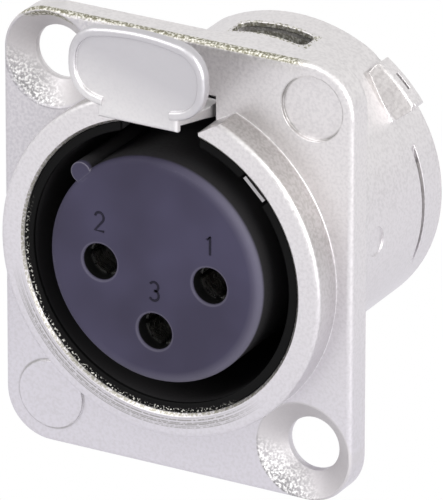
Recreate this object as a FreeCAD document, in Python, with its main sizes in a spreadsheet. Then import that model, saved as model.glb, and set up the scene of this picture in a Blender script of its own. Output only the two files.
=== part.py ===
import FreeCAD, Part
import os
import re
import Sketcher

# Three-pole panel socket with a push latch, in millimetres.
# The origin lies on the bore's axis in the plane of the flange's back face.
# The mouth looks along -Y, the rear tube runs along +Y, and the latch is on top (+Z).

Vector = FreeCAD.Vector

SIZES = (
    # flange
    ("flange_width", 26.0),
    ("flange_height", 31.0),
    ("flange_thickness", 2.0),
    ("flange_corner", 3.3),
    ("flange_edge", 0.35),
    ("screw_margin", 3.5),
    ("screw_hole", 3.8),
    ("screw_head", 6.8),
    ("screw_land", 0.5),
    ("raised_mark_diameter", 4.8),
    ("raised_mark_height", 0.15),
    ("sunk_mark_diameter", 4.5),
    ("sunk_mark_depth", 0.3),
    ("sunk_mark_from_side", 3.0),
    ("sunk_mark_from_top", 3.1),
    # collar, mouth and tube
    ("collar_wall", 1.7),
    ("collar_height", 2.4),
    ("collar_edge", 0.3),
    ("mouth_chamfer", 0.2),
    ("mouth_step", 0.25),
    ("mouth_depth", 0.8),
    ("bore_diameter", 19.9),
    ("tube_wall", 0.43),
    ("tube_lip", 2.36),
    ("gate_mark_diameter", 2.0),
    ("gate_mark_place", 6.4),
    ("gate_mark_depth", 0.12),
    # roof over the latch, its window, and the slots for the clip
    ("roof_rise", 0.95),
    ("roof_angle", 66.0),
    ("roof_blend", 4.0),
    ("roof_setback", 1.2),
    ("channel_rise", 1.05),
    ("channel_reach", 2.6),
    ("window_reach", 1.5),
    ("window_width", 5.6),
    ("window_length", 1.9),
    ("window_corner", 0.6),
    ("latch_slot", 5.9),
    ("flare_slope", 1.8),
    ("clip_slot_reach", 0.48),
    ("lug_turn", 45.0),
    ("lug_rise", 1.5),
    ("lug_angle", 19.0),
    ("lug_length", 1.4),
    ("lug_ramp", 0.9),
    ("lug_edge", 0.25),
    ("lug_slit_length", 1.3),
    ("lug_slit_width", 0.25),
    # insert
    ("core_diameter", 15.75),
    ("core_front", 4.95),
    ("core_edge", 0.45),
    ("well_depth", 10.9),
    ("base_thickness", 1.2),
    ("sleeve_wall", 0.36),
    ("insert_clearance", 0.04),
    ("key_diameter", 1.45),
    ("key_radius", 8.05),
    ("key_turn", 133.6),
    ("key_step", 0.1),
    # contacts
    ("contact_across", 8.2),
    ("contact_row", -0.2),
    ("contact_drop", 4.1),
    ("contact_hole", 2.56),
    ("contact_lead_in", 0.12),
    ("contact_recess", 1.2),
    ("contact_bore", 2.42),
    ("contact_outside", 3.1),
    ("contact_clearance", 0.05),
    ("contact_bore_depth", 11.0),
    ("contact_split_width", 0.35),
    ("contact_split_depth", 4.5),
    ("contact_collar", 3.8),
    ("contact_collar_length", 1.6),
    ("cup_outside", 2.8),
    ("cup_inside", 1.9),
    ("solder_reach", 3.8),
    ("cup_depth", 4.6),
    ("cup_mouth", 3.2),
    # retainer plate and clip
    ("plate_thickness", 0.7),
    ("clip_thickness", 0.38),
    ("clip_clearance", 0.03),
    ("clip_outside", 19.0),
    ("clip_inside", 15.4),
    ("clip_gap", 8.0),
    ("clip_ear_angle", 34.0),
    ("clip_ear_reach", 0.2),
    # ground contact
    ("strip_width", 2.0),
    ("strip_thickness", 0.25),
    ("strip_clearance", 0.2),
    ("strip_seat", 0.02),
    ("strip_tip", 4.3),
    ("strip_tip_length", 0.3),
    ("strip_bow", 0.85),
    ("strip_bow_place", 0.8),
    ("strip_bow_length", 1.2),
    ("strip_bow_end", 4.0),
    ("strip_bend", 60.0),
    ("strip_bend_setback", 1.3),
    ("strip_tail_depth", 3.4),
    ("strip_tail_hole", 1.2),
    # latch
    ("pin_diameter", 0.7),
    ("pin_place", 1.2),
    ("pin_rise", 0.11),
    ("pin_length", 8.0),
    ("pin_clearance", 0.03),
    ("latch_width", 5.3),
    ("hub_diameter", 1.06),
    ("arm_rise", 0.15),
    ("arm_thickness", 0.45),
    ("arm_setback", 1.3),
    ("hook_setback", 1.3),
    ("hook_length", 1.7),
    ("hook_depth", 1.15),
    ("hook_width", 4.4),
    ("hook_nose", 0.5),
    ("neck_bend", 3.0),
    ("neck_under_rise", 0.65),
    ("neck_thickness", 0.6),
    ("chin_half_width", 2.95),
    ("chin_drop", 3.58),
    ("tab_front", 7.45),
    ("tab_rise", 4.8),
    ("tab_half_width", 5.05),
    ("tab_half_height", 2.9),
    ("tab_corner_across", 4.55),
    ("tab_corner_up", 2.3),
    ("tab_corner_radius", 2.3),
    ("tab_thickness", 1.0),
    ("tab_lean", 1.0),
    ("tab_edge", 0.28),
    ("tab_inner_edge", 0.15),
    ("tab_back_edge", 0.3),
    ("tab_rim", 0.55),
    ("tab_recess", 0.25),
    ("rim_opening", 5.0),
    # latch spring
    ("leaf_width", 3.6),
    ("leaf_thickness", 0.2),
    ("leaf_front", 2.1),
    ("leaf_setback", 2.6),
    ("leaf_end", 0.7),
    ("leaf_clearance", 0.03),
)
SIZE = dict(SIZES)

# Radii about the bore's axis, each built on the one before it.
BORE = "(bore_diameter / 2)"
MOUTH = f"({BORE} + mouth_step)"
COLLAR = f"({MOUTH} + collar_wall)"
TUBE = f"({BORE} + tube_wall)"
ROOF = f"({TUBE} + roof_rise)"
CHANNEL = f"({BORE} + channel_rise)"
LUG = f"({TUBE} + lug_rise)"
SLEEVE = f"({BORE} - insert_clearance - sleeve_wall)"
PIN = f"({BORE} + pin_rise)"
ARM = f"({BORE} + arm_rise)"

# Places along the bore, in front of or behind the depth of the insert's well.
INSERT_BACK = "(well_depth + base_thickness)"
CLIP_BACK = f"({INSERT_BACK} + plate_thickness + clip_thickness + 2 * clip_clearance)"
TUBE_END = f"({CLIP_BACK} + tube_lip)"
ROOF_END = f"({TUBE_END} - roof_setback)"
SOLDER_END = f"({TUBE_END} + solder_reach)"
ARM_END = "(well_depth - arm_setback)"
HOOK_BACK = f"({ARM_END} - hook_setback)"
LEAF_BACK = f"({ARM_END} - leaf_setback)"

SCREW_ACROSS = "(flange_width / 2 - screw_margin)"
SCREW_UP = "(flange_height / 2 - screw_margin)"

doc = FreeCAD.newDocument("PanelSocket")
sheet = doc.addObject("Spreadsheet::Sheet", "Sizes")
for row, (alias, value) in enumerate(SIZES, start=1):
    sheet.set(f"A{row}", alias)
    sheet.set(f"B{row}", str(value))
    sheet.setAlias(f"B{row}", alias)
doc.recompute()


def size(expression):
    """Writes every alias in an expression as a cell of the sheet."""
    return re.sub("[a-z_]+", lambda word: f"Sizes.{word[0]}" if word[0] in SIZE else word[0], expression)


def bind(thing, **expressions):
    """Ties properties to expressions of the sheet; two underscores stand for a dot."""
    for name, expression in expressions.items():
        thing.setExpression(name.replace("__", "."), size(expression))


def new_body(label):
    body = doc.addObject("PartDesign::Body", label)
    body.Label = label
    return body


def new_sketch(body, name, plane, offset=None, turn=None):
    """A sketch on one of the body's own origin planes, moved along its normal or turned about its X."""
    planes = {item.Role: item for item in body.Origin.OriginFeatures}
    sketch = body.newObject("Sketcher::SketchObject", name)
    sketch.AttachmentSupport = (planes[plane], [""])
    sketch.MapMode = "FlatFace"
    if offset:
        bind(sketch, AttachmentOffset__Base__z=offset)
    if turn:
        sketch.AttachmentOffset = FreeCAD.Placement(Vector(0, 0, 0), FreeCAD.Rotation(Vector(1, 0, 0), 1))
        bind(sketch, AttachmentOffset__Rotation__Angle=turn)
    return sketch


def place_point(sketch, geometry, end, point):
    """Holds one point of a sketch at two expressions, across and up."""
    for kind, expression in zip(("DistanceX", "DistanceY"), point):
        number = sketch.addConstraint(Sketcher.Constraint(kind, -1, 1, geometry, end, 1.0))
        sketch.setExpression(f"Constraints[{number}]", size(expression))


def polygon(sketch, points):
    """A closed outline of straight lines through points given as expressions."""
    count = len(points)
    turn = FreeCAD.Units.Quantity("360 deg").Value / count
    seeds = [FreeCAD.Rotation(Vector(0, 0, 1), k * turn).multVec(Vector(10, 0, 0)) for k in range(count)]
    first = sketch.GeometryCount
    for k in range(count):
        sketch.addGeometry(Part.LineSegment(seeds[k], seeds[(k + 1) % count]), False)
    for k in range(count):
        following = first + (k + 1) % count
        sketch.addConstraint(Sketcher.Constraint("Coincident", first + k, 2, following, 1))
        place_point(sketch, first + k, 1, points[k])


def rectangle(sketch, left, right, bottom, top):
    polygon(sketch, ((left, bottom), (right, bottom), (right, top), (left, top)))


def circle(sketch, across, up, radius):
    number = sketch.addGeometry(Part.Circle(Vector(0, 0, 0), Vector(0, 0, 1), 1.0), False)
    place_point(sketch, number, 3, (across, up))
    held = sketch.addConstraint(Sketcher.Constraint("Radius", number, 1.0))
    sketch.setExpression(f"Constraints[{held}]", size(radius))


def pad(sketch, length, midplane=False, reverse=False):
    body = sketch.getParentGeoFeatureGroup()
    feature = body.newObject("PartDesign::Pad", sketch.Name + "Pad")
    feature.Profile = sketch
    feature.Midplane = midplane
    feature.Reversed = reverse
    bind(feature, Length=length)
    return feature


def pocket(sketch, length, midplane=False, reverse=False):
    body = sketch.getParentGeoFeatureGroup()
    feature = body.newObject("PartDesign::Pocket", sketch.Name + "Pocket")
    feature.Profile = sketch
    feature.Midplane = midplane
    feature.Reversed = reverse
    bind(feature, Length=length)
    return feature


def turned(sketch, kind="PartDesign::Revolution", angle=None):
    """Turns a sketch of the YZ plane about the Y axis, wholly or evenly about the plane."""
    body = sketch.getParentGeoFeatureGroup()
    feature = body.newObject(kind, sketch.Name + "Turned")
    feature.Profile = sketch
    feature.ReferenceAxis = (sketch, ["H_Axis"])
    if angle:
        feature.Midplane = True
        bind(feature, Angle=angle)
    else:
        feature.Angle = 360.0
    return feature


def edges_where(shape, test):
    return [f"Edge{k}" for k, edge in enumerate(shape.Edges, start=1) if test(edge)]


def dress(body, kind, size_name, expression, test):
    """Rounds or bevels the edges of a body that pass a test."""
    doc.recompute()
    base = body.Tip
    names = edges_where(base.Shape, test)
    feature = body.newObject(kind, base.Name + "Dressed")
    feature.Base = (base, names)
    bind(feature, **{size_name: expression})
    return feature


def runs_along_y(edge):
    start, end = edge.firstVertex().Point, edge.lastVertex().Point
    return abs(start.x - end.x) < 1e-6 and abs(start.z - end.z) < 1e-6 and abs(start.y - end.y) > 1e-6


def runs_along_z(edge):
    box = edge.BoundBox
    return box.XLength < 1e-6 and box.YLength < 1e-6


def is_ring(edge, radius, place):
    """A circular edge about the Y axis with this radius, at this place along it."""
    curve = edge.Curve
    return (isinstance(curve, Part.Circle) and abs(curve.Radius - radius) < 1e-6
            and abs(curve.Center.y - place) < 1e-6)


def make_housing():
    """Flange, collar, tube, roof and lug in one casting."""
    body = new_body("housing")
    rim = "-(flange_thickness + collar_height)"

    outline = new_sketch(body, "FlangeOutline", "XZ_Plane")
    half_width, half_height = "flange_width / 2", "flange_height / 2"
    rectangle(outline, f"-({half_width})", half_width, f"-({half_height})", half_height)
    pad(outline, "flange_thickness")
    dress(body, "PartDesign::Fillet", "Radius", "flange_corner", runs_along_y)
    front = -SIZE["flange_thickness"]

    def on_front(edge):
        box = edge.BoundBox
        return abs(box.YMin - front) < 1e-6 and abs(box.YMax - front) < 1e-6

    dress(body, "PartDesign::Fillet", "Radius", "flange_edge", on_front)

    barrel = new_sketch(body, "Barrel", "YZ_Plane")
    polygon(barrel, ((rim, "0"), (rim, COLLAR), ("-(flange_thickness / 2)", COLLAR),
                     ("-(flange_thickness / 2)", TUBE), (TUBE_END, TUBE), (TUBE_END, "0")))
    turned(barrel)
    collar_radius = SIZE["bore_diameter"] / 2 + SIZE["mouth_step"] + SIZE["collar_wall"]
    rim_place = -(SIZE["flange_thickness"] + SIZE["collar_height"])
    dress(body, "PartDesign::Fillet", "Radius", "collar_edge",
          lambda edge: is_ring(edge, collar_radius, rim_place))
    add_roof(body)

    bore = new_sketch(body, "Bore", "YZ_Plane")
    chamfer_end = "-(flange_thickness + collar_height - mouth_chamfer)"
    shoulder = "-(flange_thickness + collar_height - mouth_depth)"
    polygon(bore, ((rim, "0"), (rim, f"{MOUTH} + mouth_chamfer"), (chamfer_end, MOUTH),
                   (shoulder, MOUTH), (shoulder, BORE), (TUBE_END, BORE), (TUBE_END, "0")))
    turned(bore, "PartDesign::Groove")

    channel = new_sketch(body, "LatchChannel", "YZ_Plane")
    rectangle(channel, "-(flange_thickness / 2)", f"{ARM_END} + channel_reach",
              f"{BORE} - tube_wall", CHANNEL)
    turned(channel, "PartDesign::Groove", f"2 * asin(latch_slot / (2 * {BORE}))")

    slot = new_sketch(body, "LatchSlot", "XZ_Plane")
    rectangle(slot, "-(latch_slot / 2)", "latch_slot / 2", f"{BORE} / 2", COLLAR)
    pocket(slot, "flange_thickness + collar_height", reverse=True)

    flare = new_sketch(body, "LatchFlare", "XZ_Plane", "flange_thickness")
    over_collar = f"({COLLAR} + collar_edge)"
    flare_half = f"latch_slot / 2 + flare_slope * ({over_collar} - {MOUTH})"
    polygon(flare, (("-(latch_slot / 2)", MOUTH), ("latch_slot / 2", MOUTH), (flare_half, over_collar),
                    (f"-({flare_half})", over_collar)))
    pocket(flare, "collar_height", reverse=True)

    window = new_sketch(body, "Window", "XY_Plane", f"{CHANNEL} - channel_rise / 2")
    window_middle = f"{ARM_END} + window_reach"
    rectangle(window, "-(window_width / 2)", "window_width / 2",
              f"{window_middle} - window_length / 2", f"{window_middle} + window_length / 2")
    pocket(window, ROOF, reverse=True)
    window_half = SIZE["window_width"] / 2
    dress(body, "PartDesign::Fillet", "Radius", "window_corner",
          lambda edge: runs_along_z(edge) and edge.BoundBox.YMin > 0
          and abs(abs(edge.BoundBox.XMin) - window_half) < 1e-6)

    clip_front = f"{INSERT_BACK} + plate_thickness"
    slots = new_sketch(body, "ClipSlots", "XY_Plane")
    chord = f"{BORE} - clip_slot_reach"
    rectangle(slots, chord, f"2 * {TUBE}", clip_front, CLIP_BACK)
    rectangle(slots, f"-2 * {TUBE}", f"-({chord})", clip_front, CLIP_BACK)
    pocket(slots, f"2 * {TUBE}", midplane=True)

    mark = new_sketch(body, "GateMark", "YZ_Plane", f"{TUBE} - gate_mark_depth")
    circle(mark, "gate_mark_place", "0", "gate_mark_diameter / 2")
    pocket(mark, TUBE, reverse=True)

    pin_hole = new_sketch(body, "PinHole", "YZ_Plane")
    circle(pin_hole, "pin_place", PIN, "pin_diameter / 2")
    pocket(pin_hole, "flange_width", midplane=True)

    raised = new_sketch(body, "RaisedMark", "XZ_Plane", "flange_thickness")
    circle(raised, f"-{SCREW_ACROSS}", f"-{SCREW_UP}", "raised_mark_diameter / 2")
    pad(raised, "raised_mark_height")

    sunk = new_sketch(body, "SunkMark", "XZ_Plane", "flange_thickness")
    circle(sunk, "flange_width / 2 - sunk_mark_from_side", "flange_height / 2 - sunk_mark_from_top",
           "sunk_mark_diameter / 2")
    pocket(sunk, "sunk_mark_depth")

    slit = new_sketch(body, "LugSlit", "YZ_Plane", turn="90 - lug_turn")
    slit_place = f"{ROOF_END} - lug_length / 2"
    rectangle(slit, f"{slit_place} - lug_slit_width / 2", f"{slit_place} + lug_slit_width / 2",
              f"{BORE} - tube_wall", f"{LUG} + lug_edge")
    pocket(slit, "lug_slit_length", midplane=True)

    holes = new_sketch(body, "ScrewHoles", "XZ_Plane")
    circle(holes, f"-{SCREW_ACROSS}", SCREW_UP, "screw_hole / 2")
    circle(holes, SCREW_ACROSS, f"-{SCREW_UP}", "screw_hole / 2")
    pocket(holes, "2 * flange_thickness", midplane=True)
    countersink(body, "CountersinkLeft", f"-{SCREW_ACROSS}", SCREW_UP)
    countersink(body, "CountersinkRight", SCREW_ACROSS, f"-{SCREW_UP}")
    return body


def add_roof(body):
    """A raised roof over the latch, flat-sided down to the tube, and the ramped lug on it."""
    roof = new_sketch(body, "Roof", "YZ_Plane")
    rectangle(roof, "-(flange_thickness / 2)", ROOF_END, BORE, ROOF)
    turned(roof, angle="roof_angle")

    sides = new_sketch(body, "RoofSides", "XZ_Plane", f"-{ROOF_END}")
    crease = "roof_angle * 0.5 deg"
    foot = f"({crease} + acos({TUBE} / {ROOF}))"
    polygon(sides, ((f"-({TUBE}) * sin({foot})", f"{TUBE} * cos({foot})"),
                    (f"{TUBE} * sin({foot})", f"{TUBE} * cos({foot})"),
                    (f"{ROOF} * sin({crease})", f"{ROOF} * cos({crease})"),
                    (f"-({ROOF}) * sin({crease})", f"{ROOF} * cos({crease})")))
    pad(sides, f"{ROOF_END} + flange_thickness / 2")
    roof_radius = SIZE["bore_diameter"] / 2 + SIZE["tube_wall"] + SIZE["roof_rise"]

    def on_crease(edge):
        start = edge.firstVertex().Point
        return (runs_along_y(edge) and abs(start.x ** 2 + start.z ** 2 - roof_radius ** 2) < 1e-4
                and edge.BoundBox.YMax > 0)

    dress(body, "PartDesign::Fillet", "Radius", "roof_blend", on_crease)

    lug = new_sketch(body, "Lug", "YZ_Plane", turn="90 - lug_turn")
    lug_front = f"{ROOF_END} - lug_length"
    polygon(lug, ((f"{lug_front} - lug_ramp", BORE), (ROOF_END, BORE), (ROOF_END, LUG),
                  (lug_front, LUG), (f"{lug_front} - lug_ramp", TUBE)))
    turned(lug, angle="lug_angle")
    lug_radius = SIZE["bore_diameter"] / 2 + SIZE["tube_wall"] + SIZE["lug_rise"]

    def on_lug_top(edge):
        ends = [vertex.Point for vertex in edge.Vertexes]
        return all(abs(end.x ** 2 + end.z ** 2 - lug_radius ** 2) < 1e-4 for end in ends)

    dress(body, "PartDesign::Fillet", "Radius", "lug_edge", on_lug_top)


def countersink(body, name, across, up):
    """A cone from the end of the straight hole out to the flange's front."""
    planes = {item.Role: item for item in body.Origin.OriginFeatures}
    cone = body.newObject("PartDesign::SubtractiveCone", name)
    cone.AttachmentSupport = (planes["XZ_Plane"], [""])
    cone.MapMode = "FlatFace"
    bind(cone, Radius1="screw_hole / 2", Radius2="screw_head / 2", Height="flange_thickness - screw_land",
         AttachmentOffset__Base__x=across, AttachmentOffset__Base__y=up,
         AttachmentOffset__Base__z="screw_land")


def contact_places():
    """Where the contacts stand, across and up, seen from the mouth."""
    half = "contact_across / 2"
    return {"contact_1": (half, "contact_row"), "contact_2": (f"-({half})", "contact_row"),
            "contact_3": ("0", "contact_row - contact_drop")}


def make_insert():
    """The moulded core with its base, and the sleeve that lines the mouth."""
    body = new_body("insert_body")
    sleeve_front = "-(flange_thickness + collar_height - mouth_chamfer - insert_clearance)"
    shoulder = "-(flange_thickness + collar_height - mouth_depth + insert_clearance)"
    profile = new_sketch(body, "Core", "YZ_Plane")
    polygon(profile, (("-(core_front)", "0"), ("-(core_front)", "core_diameter / 2"),
                      ("well_depth", "core_diameter / 2"), ("well_depth", SLEEVE),
                      (sleeve_front, SLEEVE), (sleeve_front, f"{MOUTH} - insert_clearance"),
                      (shoulder, f"{MOUTH} - insert_clearance"), (shoulder, f"{BORE} - insert_clearance"),
                      (INSERT_BACK, f"{BORE} - insert_clearance"), (INSERT_BACK, "0")))
    turned(profile)
    core_radius = SIZE["core_diameter"] / 2
    core_front = -SIZE["core_front"]
    dress(body, "PartDesign::Fillet", "Radius", "core_edge",
          lambda edge: is_ring(edge, core_radius, core_front))

    key = new_sketch(body, "Key", "XZ_Plane", "core_front - key_step")
    circle(key, "key_radius * cos(key_turn * 1 deg)", "key_radius * sin(key_turn * 1 deg)",
           "key_diameter / 2")
    pad(key, f"core_front - key_step + {INSERT_BACK} - base_thickness / 2", reverse=True)

    latch_gap = new_sketch(body, "LatchGap", "XZ_Plane", "-(well_depth)")
    rectangle(latch_gap, "-(latch_slot / 2)", "latch_slot / 2", f"{SLEEVE} - 3 * sleeve_wall", CHANNEL)
    pocket(latch_gap, "well_depth + flange_thickness + collar_height", reverse=True)

    strip_gap = new_sketch(body, "StripGap", "YZ_Plane", turn="90 - lug_turn")
    rectangle(strip_gap, "-(flange_thickness + collar_height)", f"{INSERT_BACK} + base_thickness",
              f"{BORE} - strip_seat - strip_thickness - strip_clearance", CHANNEL)
    pocket(strip_gap, "strip_width + 2 * strip_clearance", midplane=True)
    strip_room = new_sketch(body, "StripRoom", "YZ_Plane", turn="90 - lug_turn")
    rectangle(strip_room, "-(flange_thickness + collar_height)", "well_depth",
              f"{SLEEVE} - sleeve_wall", CHANNEL)
    pocket(strip_room, "strip_width + 2 * strip_clearance", midplane=True)

    for name, (across, up) in contact_places().items():
        number = name[-1]
        mouth = new_sketch(body, f"Hole{number}", "XZ_Plane")
        circle(mouth, across, up, "contact_hole / 2")
        pocket(mouth, "core_front + 1", reverse=True)
        room = new_sketch(body, f"Room{number}", "XZ_Plane", "core_front - contact_recess")
        circle(room, across, up, "contact_outside / 2 + contact_clearance")
        pocket(room, f"core_front + {INSERT_BACK}")
        seat = new_sketch(body, f"Seat{number}", "XZ_Plane", f"contact_collar_length - {INSERT_BACK}")
        circle(seat, across, up, "contact_collar / 2 + contact_clearance")
        pocket(seat, "contact_collar_length + 1")
    front = -SIZE["core_front"]
    hole_radius = SIZE["contact_hole"] / 2
    dress(body, "PartDesign::Fillet", "Radius", "contact_lead_in",
          lambda edge: is_ring(edge, hole_radius, front))
    return body


def make_contact(name, across, up):
    """A turned socket: split sleeve in front, collar, and an open solder cup behind."""
    body = new_body(name)
    bind(body, Placement__Base__x=across, Placement__Base__z=up)
    front = "-(core_front - contact_recess - contact_clearance)"
    collar_front = f"{INSERT_BACK} - contact_collar_length + contact_clearance"
    cup_floor = f"{SOLDER_END} - cup_depth"
    bore_end = "contact_bore_depth - core_front + contact_recess"
    profile = new_sketch(body, name + "Profile", "YZ_Plane")
    polygon(profile, ((front, "contact_bore / 2"), (front, "contact_outside / 2"),
                      (collar_front, "contact_outside / 2"), (collar_front, "contact_collar / 2"),
                      (INSERT_BACK, "contact_collar / 2"), (INSERT_BACK, "cup_outside / 2"),
                      (SOLDER_END, "cup_outside / 2"), (SOLDER_END, "cup_inside / 2"),
                      (cup_floor, "cup_inside / 2"), (cup_floor, "0"),
                      (bore_end, "0"), (bore_end, "contact_bore / 2")))
    turned(profile)
    long, short = "contact_outside", "contact_split_width / 2"
    for end, half_across, half_up in (("SplitAcross", long, short), ("SplitUp", short, long)):
        split = new_sketch(body, name + end, "XZ_Plane", "core_front - contact_recess - contact_split_depth")
        rectangle(split, f"-({half_across})", half_across, f"-({half_up})", half_up)
        pocket(split, "contact_split_depth", reverse=True)
    mouth = new_sketch(body, name + "CupMouth", "YZ_Plane")
    rectangle(mouth, f"{SOLDER_END} - cup_mouth", f"{SOLDER_END} + 1", "0", "cup_outside")
    pocket(mouth, "2 * cup_outside", midplane=True)
    return body


def make_retainer():
    """The plate that closes the insert behind the contact collars."""
    body = new_body("contact_retainer")
    outline = new_sketch(body, "Plate", "XZ_Plane", f"-({INSERT_BACK} + plate_thickness)")
    circle(outline, "0", "0", f"{BORE} - insert_clearance")
    for across, up in contact_places().values():
        circle(outline, across, up, "cup_outside / 2 + contact_clearance")
    pad(outline, "plate_thickness")
    gap = new_sketch(body, "PlateGap", "YZ_Plane", turn="90 - lug_turn")
    rectangle(gap, "well_depth", TUBE_END,
              f"{BORE} - strip_seat - strip_thickness - strip_clearance", CHANNEL)
    pocket(gap, "strip_width + 2 * strip_clearance", midplane=True)
    return body


def make_clip():
    """A flat open spring ring whose two ears stand in the side slots of the tube."""
    body = new_body("retaining_clip")
    back = f"({CLIP_BACK} - clip_clearance)"
    ring = new_sketch(body, "ClipRing", "XZ_Plane", f"-{back}")
    circle(ring, "0", "0", "clip_outside / 2")
    pad(ring, "clip_thickness")
    for side, turn in (("Right", "90"), ("Left", "-90")):
        ear = new_sketch(body, side + "Ear", "YZ_Plane", turn=turn)
        rectangle(ear, f"{back} - clip_thickness", back, "clip_inside / 2",
                  f"{BORE} + clip_ear_reach")
        turned(ear, angle="clip_ear_angle")
    inside = new_sketch(body, "ClipInside", "XZ_Plane", "-(well_depth)")
    circle(inside, "0", "0", "clip_inside / 2")
    pocket(inside, TUBE_END)
    gap = new_sketch(body, "ClipGap", "XZ_Plane", "-(well_depth)")
    rectangle(gap, "-(clip_gap / 2)", "clip_gap / 2", f"-2 * {TUBE}", "-(clip_inside / 4)")
    pocket(gap, TUBE_END)
    return body


def make_ground_contact():
    """A sprung strip along the wall of the mouth, with a barb for the lug and a solder tail."""
    body = new_body("ground_contact")
    body.Placement = FreeCAD.Placement(Vector(0, 0, 0), FreeCAD.Rotation(Vector(0, 1, 0), 1))
    bind(body, Placement__Rotation__Angle="90 - lug_turn")
    wall = "(sqrt(bore_diameter ^ 2 - strip_width ^ 2) / 2 - strip_seat)"
    tip = f"{MOUTH} - strip_seat - strip_clearance / 2"
    step = "flange_thickness + collar_height - mouth_depth + strip_clearance"
    bow = f"{BORE} - strip_bow + strip_thickness"
    tail = f"({wall} - strip_tail_depth)"
    bend = f"({TUBE_END} - strip_bend_setback)"
    bend_end = f"{bend} + strip_tail_depth / tan(strip_bend * 1 deg)"
    line = (("-(strip_tip)", tip), ("-(strip_tip - strip_tip_length)", tip), (f"-({step})", wall),
            ("strip_bow_place - strip_bow_length / 2", bow), ("strip_bow_place + strip_bow_length / 2", bow),
            ("strip_bow_end", wall), (bend, wall), (bend_end, tail), (SOLDER_END, tail))
    inner_shift = "strip_thickness * tan(strip_bend * 0.5 deg)"
    strip = new_sketch(body, "Strip", "YZ_Plane")
    lower = [(along, f"{up} - strip_thickness") for along, up in reversed(line)]
    for k in (1, 2):
        lower[k] = (f"{lower[k][0]} - {inner_shift}", lower[k][1])
    polygon(strip, (*line, *lower))
    pad(strip, "strip_width", midplane=True)
    barb = new_sketch(body, "Barb", "YZ_Plane")
    place = f"{ROOF_END} - lug_length / 2"
    half = "lug_slit_width / 2 - strip_seat"
    rectangle(barb, f"{place} - ({half})", f"{place} + {half}", f"{wall} - strip_thickness / 2",
              f"{LUG} - strip_clearance")
    pad(barb, "lug_slit_length - 2 * strip_seat", midplane=True)
    hole = new_sketch(body, "TailHole", "XY_Plane")
    circle(hole, "0", f"{SOLDER_END} - strip_width / 2", "strip_tail_hole / 2")
    pocket(hole, wall, reverse=True)
    return body


def make_pin():
    """The steel pivot pin, pressed across the housing."""
    pin = doc.addObject("Part::Cylinder", "latch_pin")
    pin.Placement = FreeCAD.Placement(Vector(0, 0, 0), FreeCAD.Rotation(Vector(0, 1, 0), 90))
    bind(pin, Radius="pin_diameter / 2", Height="pin_length", Placement__Base__x="-(pin_length / 2)",
         Placement__Base__y="pin_place", Placement__Base__z=PIN)
    return pin


def make_latch_spring():
    """A bowed leaf: its ends bear on the roof of the channel and its crown on the arm."""
    body = new_body("latch_spring")
    middle = f"(leaf_front + {LEAF_BACK}) / 2"
    low = f"{ARM} + leaf_clearance"
    high = f"sqrt({CHANNEL} ^ 2 - leaf_width ^ 2 / 4) - leaf_clearance - leaf_thickness"
    under = (("leaf_front", high), ("leaf_front + leaf_end", high), (f"{middle} - leaf_end / 2", low),
             (f"{middle} + leaf_end / 2", low), (f"{LEAF_BACK} - leaf_end", high), (LEAF_BACK, high))
    over = tuple((along, f"{up} + leaf_thickness") for along, up in reversed(under))
    profile = new_sketch(body, "Leaf", "YZ_Plane")
    polygon(profile, under + over)
    pad(profile, "leaf_width", midplane=True)
    return body


def cushion(sketch, inset):
    """Four shallow arcs that meet at four corners, for the tab's outline and the inset one in its face."""
    drawn_inset = SIZE.get(inset, 0.0)
    names = ("tab_half_width", "tab_half_height", "tab_corner_across", "tab_corner_up")
    a, b, x, z = (SIZE[name] - drawn_inset for name in names)
    half_width, half_height, across, up = (f"({name} - {inset})" for name in names)
    corners = ((x, z), (-x, z), (-x, -z), (x, -z))
    middles = ((0, b), (-a, 0), (0, -b), (a, 0))
    rise, reach = f"({half_height} - {up})", f"({half_width} - {across})"
    radii = ((f"({across} ^ 2 / {rise} + {rise}) / 2", (x ** 2 / (b - z) + b - z) / 2),
             (f"({up} ^ 2 / {reach} + {reach}) / 2", (z ** 2 / (a - x) + a - x) / 2))
    for k in range(4):
        ends = [Vector(*point, 0) for point in (corners[k], middles[k], corners[(k + 1) % 4])]
        sketch.addGeometry(Part.Arc(*ends), False)
    for k in range(4):
        sketch.addConstraint(Sketcher.Constraint("Coincident", k, 2, (k + 1) % 4, 1))
        signed = [name if value > 0 else f"-{name}" for value, name in zip(corners[k], (across, up))]
        for kind, start, expression in zip(("DistanceX", "DistanceY"), corners[k], signed):
            number = sketch.addConstraint(Sketcher.Constraint(kind, -1, 1, k, 1, start))
            sketch.setExpression(f"Constraints[{number}]", size(expression))
        expression, start = radii[k % 2]
        number = sketch.addConstraint(Sketcher.Constraint("Radius", k, start))
        sketch.setExpression(f"Constraints[{number}]", size(expression))


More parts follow.
